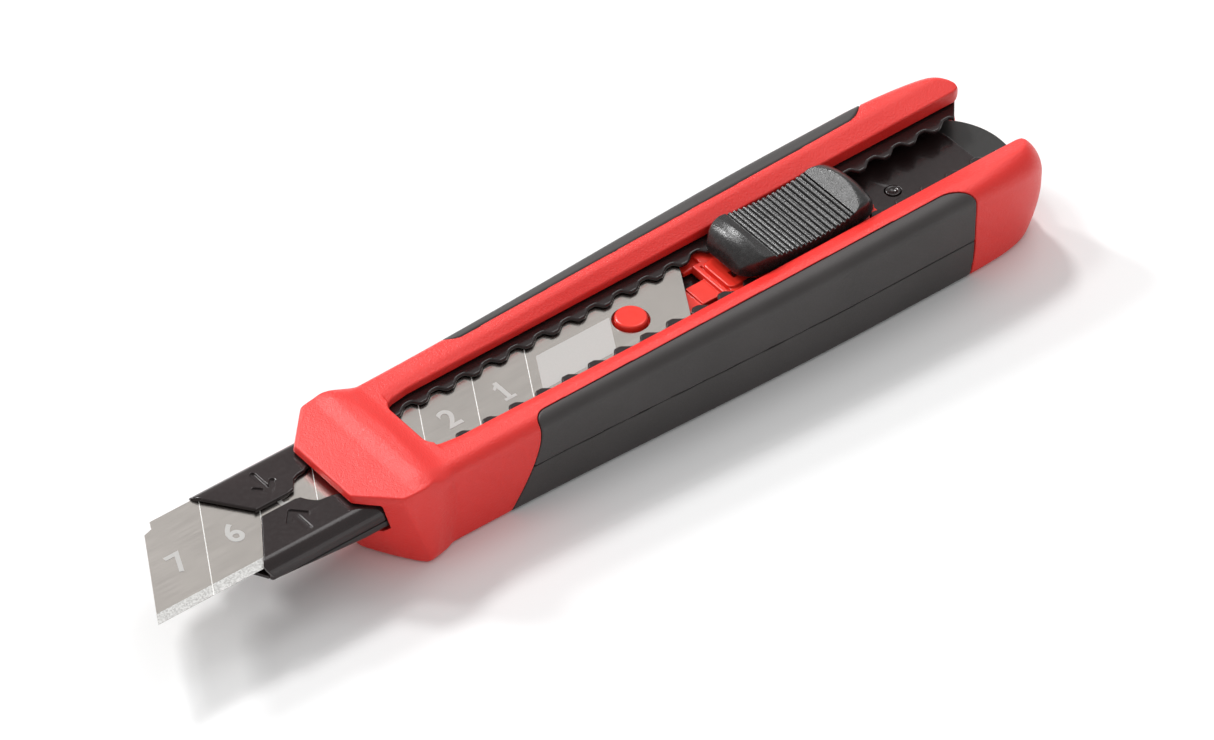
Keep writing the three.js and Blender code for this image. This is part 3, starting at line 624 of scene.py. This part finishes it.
def channel(x, y, z):
    c, ay = CHANNEL, np.abs(y)
    f = both(both(ay - c.half, z - c.top, c.bend), c.low - z, c.lower_r)
    hollow = both(both(ay - c.inner_half, z - c.inner_top, c.inner_bend), c.inner_low - z, r=0.2)
    f = less(f, hollow, r=0.12)
    nose = c.front + c.nose_slope * np.clip(ay - c.nose_from, 0, c.nose_run) * fall(z, 10, 13)
    f = both(both(f, (nose - x) * 0.87, r=0.12), x - c.rear, r=0.12)
    f = less(f, both(flange_notch(x, y), c.notch_low - z), r=0.2)
    f = less(f, both(both(ay - c.seam_half, x - SLOT.front - 0.1), SLOT.low - z), r=0.1)
    f = less(f, slot(x, y, z), r=0.28)
    end = np.interp(ay, c.end_y, c.end_x)
    f = less(f, both((end - x) * 0.75, SLOT.low - z), r=0.12)
    floor_end = both(x - c.floor_rear, ay - c.floor_half, c.floor_corner)
    f = less(f, both(np.maximum(-floor_end, ay - c.inner_half), z - c.floor_top), r=0.1)
    f = less(f, both(rivet_bore(x, y, RIVET.channel_hole), z - c.rivet_top))
    dent = np.minimum(arrow(x, y, ARROW.near, 1), arrow(x, y, ARROW.far, -1))
    return less(f, both(dent, ARROW.low - z), r=0.12)


def rivet(cx):
    def field(x, y, z):
        r = np.hypot(x - cx, y)
        f = both(r - RIVET.shank, slab(z, *RIVET.shank_z), r=0.12)
        f = either(f, both(r - RIVET.head, slab(z, *RIVET.head_z), r=0.1))
        return less(f, np.sqrt(r * r + (z - RIVET.dish_z) ** 2) - RIVET.dish_r, r=0.08)

    return field


# ---- Slider ------------------------------------------------------------------------------------------------
CARRIAGE = Sizes(low=10.2, tongue_x=(-13.5, -1), tongue_half=3.4, tongue_top=10.8, peg_x=-8.3, peg_r=2.55,
                 peg_z=(10.3, 12.75), arm_x=(-6, 4), arm_y=(-3.3, 1.1), step_x=(3.1, 9.2), step_top=11.15,
                 frame_x=(6.7, 37.2), frame_half=8.9, frame_top=11.8, ledge_x=(4, 8.2), ledge_y=(3.9, 10),
                 ledge_z=(11.2, 13), prong_x=(5, 9), prong_y=(3.9, 8.9), groove_x=(7.6, 7.95),
                 groove_z=(11.4, 13), block_x=(7.9, 14.2), block_y=(-3.9, 3.1), block_top=12.15,
                 bar_x=(32.7, 37.2), bar_half=3.3, bar_top=12.4, leg_x=(9.9, 11.4), leg_y=(-2.35, -0.85),
                 leg_z=(11, 14), pocket_x=(19.6, 27.6), pocket_half=5.8)

LOCK = Sizes(x=(20.2, 27), z=(11.1, 11.6), half=4.4, lug_x=(23.2, 24), lug_half=5.1, lug_top=11.8)

LEAF = Sizes(middle=23.6, reach=3.4, half=2, low=10.32, bow=0.5, half_thickness=0.1, foot=10.22, pressed=0.2)

PAD = Sizes(middle=22.7, reach=13.5, x=(9.25, 36.15), half=6.1, end_narrowing=0.42, low=13.7, rise=4.46,
            end_fall=0.85, crown=1.1, saddle_from=12.9, saddle_middle=22.45, saddle_reach=9.55, saddle_top=17,
            saddle_depth=1.25, rib_start=15, rib_pitch=0.95, rib_places=(0, 0.28, 0.42, 0.8, 0.95),
            rib_depths=(0.45, 0.45, 0.15, 0, 0.45), ribs_x=(14.7, 30.2), ramp_from=30.3, ramp_low=16.45,
            ramp_slope=0.5, neck_x=(20.6, 26.6), neck_y=(-3.3, 3.3), neck_z=(11.7, 14.5), leg_x=(10.2, 11.1),
            leg_y=(-2.05, -1.15), leg_z=(11.9, 14))


def carriage_tongue(x, y, z):
    """The tongue with the peg through the blade, and the arm behind it."""
    c = CARRIAGE
    f = both(slab(x, *c.tongue_x), np.abs(y) - c.tongue_half, r=3)
    f = both(f, slab(z, c.low, c.tongue_top), r=0.1)
    peg = np.hypot(x - c.peg_x, y) - c.peg_r
    f = either(f, both(peg, slab(z, *c.peg_z), r=0.35))
    f = either(f, brick(x, y, z, c.arm_x, c.arm_y, (c.low, c.tongue_top), r=0.1))
    return either(f, brick(x, y, z, c.step_x, c.arm_y, (c.low, c.step_top), r=0.15))


def carriage(x, y, z):
    c = CARRIAGE
    plan = both(slab(x, *c.frame_x), np.abs(y) - c.frame_half, r=1.2)
    f = either(carriage_tongue(x, y, z), both(plan, slab(z, c.low, c.frame_top), r=0.15))
    f = less(f, brick(x, y, z, c.ledge_x, c.ledge_y, c.ledge_z), r=0.1)
    f = either(f, brick(x, y, z, c.prong_x, c.prong_y, (c.low, c.ledge_z[0]), r=0.3))
    f = less(f, brick(x, y, z, c.groove_x, c.block_y, c.groove_z), r=0.1)
    block = both(slab(x, *c.block_x), slab(y, *c.block_y), r=1)
    f = either(f, both(block, slab(z, c.low, c.block_top), r=0.2))
    bar = both(slab(x, *c.bar_x), np.abs(y) - c.bar_half, r=1)
    f = either(f, both(bar, slab(z, c.low, c.bar_top), r=0.25))
    f = less(f, brick(x, y, z, c.leg_x, c.leg_y, c.leg_z), r=0.1)
    return less(f, both(slab(x, *c.pocket_x), np.abs(y) - c.pocket_half))


def lock_plate(x, y, z):
    k = LOCK
    f = brick(x, y, z, k.x, (-k.half, k.half), k.z, r=0.1)
    ear = brick(x, y, z, k.lug_x, (-k.lug_half, k.lug_half), k.z, r=0.1)
    lug = brick(x, np.abs(y), z, k.lug_x, (k.half, k.lug_half), (k.z[0], k.lug_top), r=0.1)
    return either(either(f, ear), lug)


def lock_spring(x, y, z):
    bow = LEAF.low + LEAF.bow * (1 - ((x - LEAF.middle) / LEAF.reach) ** 2)
    return both(both(np.abs(z - bow) - LEAF.half_thickness, slab(x, *LOCK.x)), np.abs(y) - LEAF.half, r=0.05)


def pad_block(x, y, z):
    """The crowned, round-ended block before the saddle is cut."""
    p = PAD
    end = np.clip(np.abs((x - p.middle) / p.reach), 0, 1)
    half = p.half * (1 - p.end_narrowing * end**8)
    top = p.low + p.rise * (1 - p.end_fall * end**11)
    crown = np.minimum(p.crown, (top - p.low) * 0.4)
    roof = top - crown * np.clip(np.abs(y) / half, 0, 1.2) ** 2
    f = both(np.abs(y) - half, slab(x, *p.x), r=0.6)
    f = both(f, (z - roof) / np.sqrt(1 + np.where(end > 0.8, 4 * (end - 0.8), 0) * 8), r=0.5)
    return both(f, p.low - z, r=0.15)


def saddle(x, z):
    """Above the ribbed saddle and the ramp behind it."""
    p = PAD
    floor = p.saddle_top - p.saddle_depth * (1 - ((x - p.saddle_middle) / p.saddle_reach) ** 2)
    ribs = np.interp((x - p.rib_start) % p.rib_pitch, p.rib_places, p.rib_depths)
    ribs = ribs * (x > p.ribs_x[0]) * (x < p.ribs_x[1])
    floor = np.where(x > p.ramp_from, p.ramp_low + p.ramp_slope * (x - p.ramp_from), floor - ribs)
    return both(p.saddle_from - x, floor - z)


def thumb_pad(x, y, z):
    p = PAD
    f = less(pad_block(x, y, z), saddle(x, z), r=0.07)
    f = either(f, brick(x, y, z, p.neck_x, p.neck_y, p.neck_z, r=0.2))
    return either(f, brick(x, y, z, p.leg_x, p.leg_y, p.leg_z, r=0.1), r=0.2)


# ---- Blade -------------------------------------------------------------------------------------------------
BLADE = Sizes(tip=-103, heel=-3, segment=10, scores=7, edge_y=-9, angle=math.radians(60), low=11.5, top=12,
              edge_z=11.75, edge_half=0.03, score_depth=0.12, score_offsets=(-0.08, -0.04, 0.04, 0.08),
              rows=(-9, -7.25, 7.2, 7.6, 9), clip_y=7.6, clip_shift=1.31, corner_shift=1.2,
              hole_x=-8.3, hole_r=3)

MARKS = Sizes(first_x=-93.2, y=-0.65, size=5.5, weight=0.11, half=0.02, foot_x=(-34.2, -32.1),
              foot_y=(-2.7, -2.15), flag=[(-33.3, 1.3), (-34.2, 0.6), (-34.2, 0.05), (-33.3, 0.6)],
              panel=[(-28.4, -4.2), (-14.4, -4.2), (-10.6, 2.4), (-24.6, 2.4)])


def blade_columns(bm, cuts):
    """Rows of points across the blade at each cut, on its upper and its lower face."""
    b = BLADE
    top, bottom = [], []
    for i, u in enumerate(cuts):
        in_groove = 0 < i < len(cuts) - 1 and (i - 1) % 4 in (1, 2)
        column_top, column_bottom = [], []
        for y in b.rows:
            on_edge = y == b.edge_y
            x = u + (y - b.edge_y) / math.tan(b.angle)
            if i == 0 and y >= b.clip_y:
                x += b.clip_shift if y == b.clip_y else b.corner_shift
            high = b.edge_z + (0 if in_groove else b.edge_half) if on_edge else (
                b.top - (b.score_depth if in_groove else 0))
            low = b.edge_z - b.edge_half if on_edge else b.low
            column_top.append(bm.verts.new((x * MM, y * MM, high * MM)))
            column_bottom.append(bm.verts.new((x * MM, y * MM, low * MM)))
        top.append(column_top)
        bottom.append(column_bottom)
    return top, bottom


def blade_mesh():
    """A slanted grid of cells: segments, shallow score grooves, a ground edge and the clipped tip corner."""
    b = BLADE
    scores = [b.tip + b.segment * k + d for k in range(1, b.scores + 1) for d in b.score_offsets]
    cuts = [b.tip, *scores, b.heel]
    bm = bmesh.new()
    top, bottom = blade_columns(bm, cuts)
    for i in range(len(cuts) - 1):
        groove = i % 4 != 0
        for j in range(len(b.rows) - 1):
            upper = bm.faces.new((top[i][j], top[i + 1][j], top[i + 1][j + 1], top[i][j + 1]))
            lower = bm.faces.new((bottom[i][j], bottom[i][j + 1], bottom[i + 1][j + 1], bottom[i + 1][j]))
            upper.material_index = 2 if groove else (1 if j == 0 else 0)
            lower.material_index = 1 if j == 0 else 0
        bm.faces.new((bottom[i][0], bottom[i + 1][0], top[i + 1][0], top[i][0])).material_index = 1
        bm.faces.new((top[i][-1], top[i + 1][-1], bottom[i + 1][-1], bottom[i][-1]))
    for j in range(len(b.rows) - 1):
        bm.faces.new((top[0][j + 1], bottom[0][j + 1], bottom[0][j], top[0][j]))
        bm.faces.new((top[-1][j], bottom[-1][j], bottom[-1][j + 1], top[-1][j + 1]))
    bmesh.ops.recalc_face_normals(bm, faces=bm.faces[:])
    mesh = bpy.data.meshes.new("blade_shape")
    bm.to_mesh(mesh)
    bm.free()
    return mesh


def hole_in(made, x, r):
    """Cuts the peg's hole through the blade."""
    bm = bmesh.new()
    bmesh.ops.create_cone(bm, cap_ends=True, segments=48, radius1=r * MM, radius2=r * MM, depth=4 * MM,
                          matrix=Matrix.Translation((x * MM, 0, BLADE.edge_z * MM)))
    mesh = bpy.data.meshes.new("hole_tool")
    bm.to_mesh(mesh)
    bm.free()
    tool = bpy.data.objects.new("hole_tool", mesh)
    bpy.context.scene.collection.objects.link(tool)
    cut = made.modifiers.new("hole", "BOOLEAN")
    cut.object, cut.operation, cut.solver = tool, "DIFFERENCE", "EXACT"
    ready = made.evaluated_get(bpy.context.evaluated_depsgraph_get())
    done = bpy.data.meshes.new_from_object(ready)
    made.modifiers.clear()
    made.data = done
    bpy.data.objects.remove(tool)


def digit(text, x, material):
    curve = bpy.data.curves.new("digit_" + text, "FONT")
    curve.body, curve.size = text, MARKS.size * MM
    curve.align_x, curve.align_y = "CENTER", "CENTER"
    curve.extrude, curve.offset = MARKS.half * MM, MARKS.weight * MM
    made = bpy.data.objects.new("digit_curve", curve)
    bpy.context.scene.collection.objects.link(made)
    made.location = (x * MM, MARKS.y * MM, (BLADE.top + MARKS.half) * MM)
    bpy.context.view_layer.update()
    mesh = bpy.data.meshes.new_from_object(made.evaluated_get(bpy.context.evaluated_depsgraph_get()))
    mesh.transform(made.matrix_world)
    bpy.data.objects.remove(made)
    mesh.materials.clear()
    piece("blade_digit_" + text, mesh, "slider", [material], "blade_steel")


def frosted_plate(name, corners, material):
    """A thin plain patch on the blade's flat."""
    bm = bmesh.new()
    heights = (BLADE.top, BLADE.top + MARKS.half)
    rings = [[bm.verts.new((x * MM, y * MM, z * MM)) for x, y in corners] for z in heights]
    bm.faces.new(rings[1])
    bm.faces.new(rings[0][::-1])
    for i in range(4):
        j = (i + 1) % 4
        bm.faces.new((rings[0][i], rings[0][j], rings[1][j], rings[1][i]))
    mesh = bpy.data.meshes.new(name)
    bm.to_mesh(mesh)
    bm.free()
    piece(name, mesh, "slider", [material], "blade_steel")


# ---- Build -------------------------------------------------------------------------------------------------
def build_handle():
    red, rubber, steel = red_shell(), grip_rubber(), black_steel()
    piece("housing_shell", skin("housing_shell", housing, (-67, -14.3, 0), (66, 14.3, 17), 0.2, 0.4),
          "handle", [red], "red_housing", "housing")
    for name, side in (("near", -1), ("far", 1)):
        low, high = sorted((side * 8, side * 14.3))
        mesh = skin("grip_" + name, grip(side), (-43, low, 6), (49, high, 17), 0.22, 0.5)
        piece("soft_grip_" + name, mesh, "handle", [rubber], "soft_grip", "grip_" + name)
    piece("soft_base", skin("soft_base", base_shell, (-43, -14.3, 0), (49, 14.3, 7), 0.3, 0.3),
          "handle", [rubber], "soft_grip", "base_shell")
    piece("inner_chassis", skin("inner_chassis", chassis, (-83, -10, 1.5), (66, 10, 9.2), 0.25, 0.25),
          "handle", [black_plastic()], "black_plastic", "chassis")
    piece("steel_channel", skin("steel_channel", channel, (-84.5, -10, 9.3), (63, 10, 12.8), 0.15, 0.5),
          "handle", [steel], "black_steel", "channel")
    for name, x in (("front", RIVET.front), ("rear", RIVET.rear)):
        mesh = skin("rivet_" + name, rivet(x), (x - 1.8, -1.8, 6.8), (x + 1.8, 1.8, 10.1), 0.1)
        piece("rivet_" + name, mesh, "handle", [steel], "black_steel", "channel_rivet_" + name)


def build_blade():
    frosted = frosted_mark()
    blade = piece("snap_blade", blade_mesh(), "slider", [blade_steel(), edge_steel(), score_steel()],
                  "blade_steel", "blade")
    hole_in(blade, BLADE.hole_x, BLADE.hole_r)
    for k in range(BLADE.scores):
        digit(str(BLADE.scores - k), MARKS.first_x + BLADE.segment * k, frosted)
    (x0, x1), (y0, y1) = MARKS.foot_x, MARKS.foot_y
    frosted_plate("blade_digit_1_foot", [(x0, y0), (x1, y0), (x1, y1), (x0, y1)], frosted)
    frosted_plate("blade_digit_1_flag", MARKS.flag, frosted)
    frosted_plate("blade_panel", MARKS.panel, frosted)


def build_slider():
    red_part, springy = red_slider(), spring_steel()
    piece("slider_carriage", skin("slider_carriage", carriage, (-14, -9, 10), (37.4, 9, 13), 0.16, 0.4),
          "slider", [red_part], "red_slider", "carriage")
    build_blade()
    leaf_mesh = skin("leaf_spring", lock_spring, (20, -2.1, 10.1), (27.1, 2.1, 11.2), 0.08, 0.5)
    leaf = piece("leaf_spring", leaf_mesh, "slider", [springy], "spring_steel", "lock_spring")
    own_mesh(leaf)
    piece("latch_plate", skin("latch_plate", lock_plate, (20, -5.2, 11), (27.1, 5.2, 11.9), 0.1, 0.5),
          "pad", [springy], "spring_steel", "lock_plate")
    piece("ribbed_pad", skin("ribbed_pad", thumb_pad, (9, -6.2, 11.6), (36.3, 6.2, 18.3), 0.11),
          "pad", [pad_plastic()], "black_pad", "thumb_pad")


# ---- Camera and studio -------------------------------------------------------------------------------------
CAMERA = Sizes(azimuth=-38.85, elevation=42.49, roll=0.49, place=(-0.5748, -0.6977, 0.8249), sensor=36,
               lens=238.5, clip=(0.05, 20))

# Lamps as name, kind, place, size in radians or metres, and power. All of them aim at the origin.
LAMPS = (
    ("key_back", "SUN", (0.12, 0.66, 0.74), math.radians(9), 1.1),
    ("key_left", "SUN", (-0.30, 0.80, 0.55), math.radians(9), 1.2),
    ("overhead", "AREA", (0.46, 0.22, 0.86), 0.42, 1.6),
    ("glint", "AREA", (-0.21, 0.58, 0.79), 0.14, 1.6),
)


def camera():
    azimuth, elevation = math.radians(CAMERA.azimuth), math.radians(CAMERA.elevation)
    roll = math.radians(CAMERA.roll)
    back = Vector((math.sin(azimuth) * math.cos(elevation), -math.cos(azimuth) * math.cos(elevation),
                   math.sin(elevation)))
    right = Vector((math.cos(azimuth), math.sin(azimuth), 0))
    up = back.cross(right)
    side = right * math.cos(roll) + up * math.sin(roll)
    top = up * math.cos(roll) - right * math.sin(roll)
    data = bpy.data.cameras.new("camera")
    data.sensor_width, data.lens = CAMERA.sensor, CAMERA.lens
    data.clip_start, data.clip_end = CAMERA.clip
    made = bpy.data.objects.new("camera", data)
    bpy.context.scene.collection.objects.link(made)
    turn = Matrix((side, top, back)).transposed().to_4x4()
    made.matrix_world = Matrix.Translation(CAMERA.place) @ turn
    bpy.context.scene.camera = made


def pale_floor():
    look = Look("pale_floor", (0.9, 0.9, 0.9), 0.9)
    look.tint(look.range(look.noise(8, 2), 0.3, 0.7, 0, 1), (0.91, 0.91, 0.91))
    look.set(Specular_IOR_Level=0.1)
    bm = bmesh.new()
    bmesh.ops.create_grid(bm, x_segments=2, y_segments=2, size=6)
    mesh = bpy.data.meshes.new("floor")
    bm.to_mesh(mesh)
    bm.free()
    mesh.materials.append(look.material)
    made = bpy.data.objects.new("floor", mesh)
    made.location = (0, 0, CAD_BOX[0].z - 0.0001)
    bpy.context.scene.collection.objects.link(made)


def lights():
    for name, kind, place, size, power in LAMPS:
        data = bpy.data.lights.new(name, kind)
        data.energy = power
        if kind == "SUN":
            data.angle = size
        else:
            data.size = size
        lamp = bpy.data.objects.new(name, data)
        lamp.location = place
        lamp.rotation_mode = "QUATERNION"
        lamp.rotation_quaternion = Vector(place).to_track_quat("Z", "Y")
        bpy.context.scene.collection.objects.link(lamp)
    world = bpy.data.worlds.new("world")
    world.use_nodes = True
    world.node_tree.nodes["Background"].inputs["Color"].default_value = (1, 1, 1, 1)
    world.node_tree.nodes["Background"].inputs["Strength"].default_value = 0.55
    bpy.context.scene.world = world
    bpy.context.scene.view_settings.view_transform = "Standard"


camera()
pale_floor()
lights()
build_handle()
build_slider()
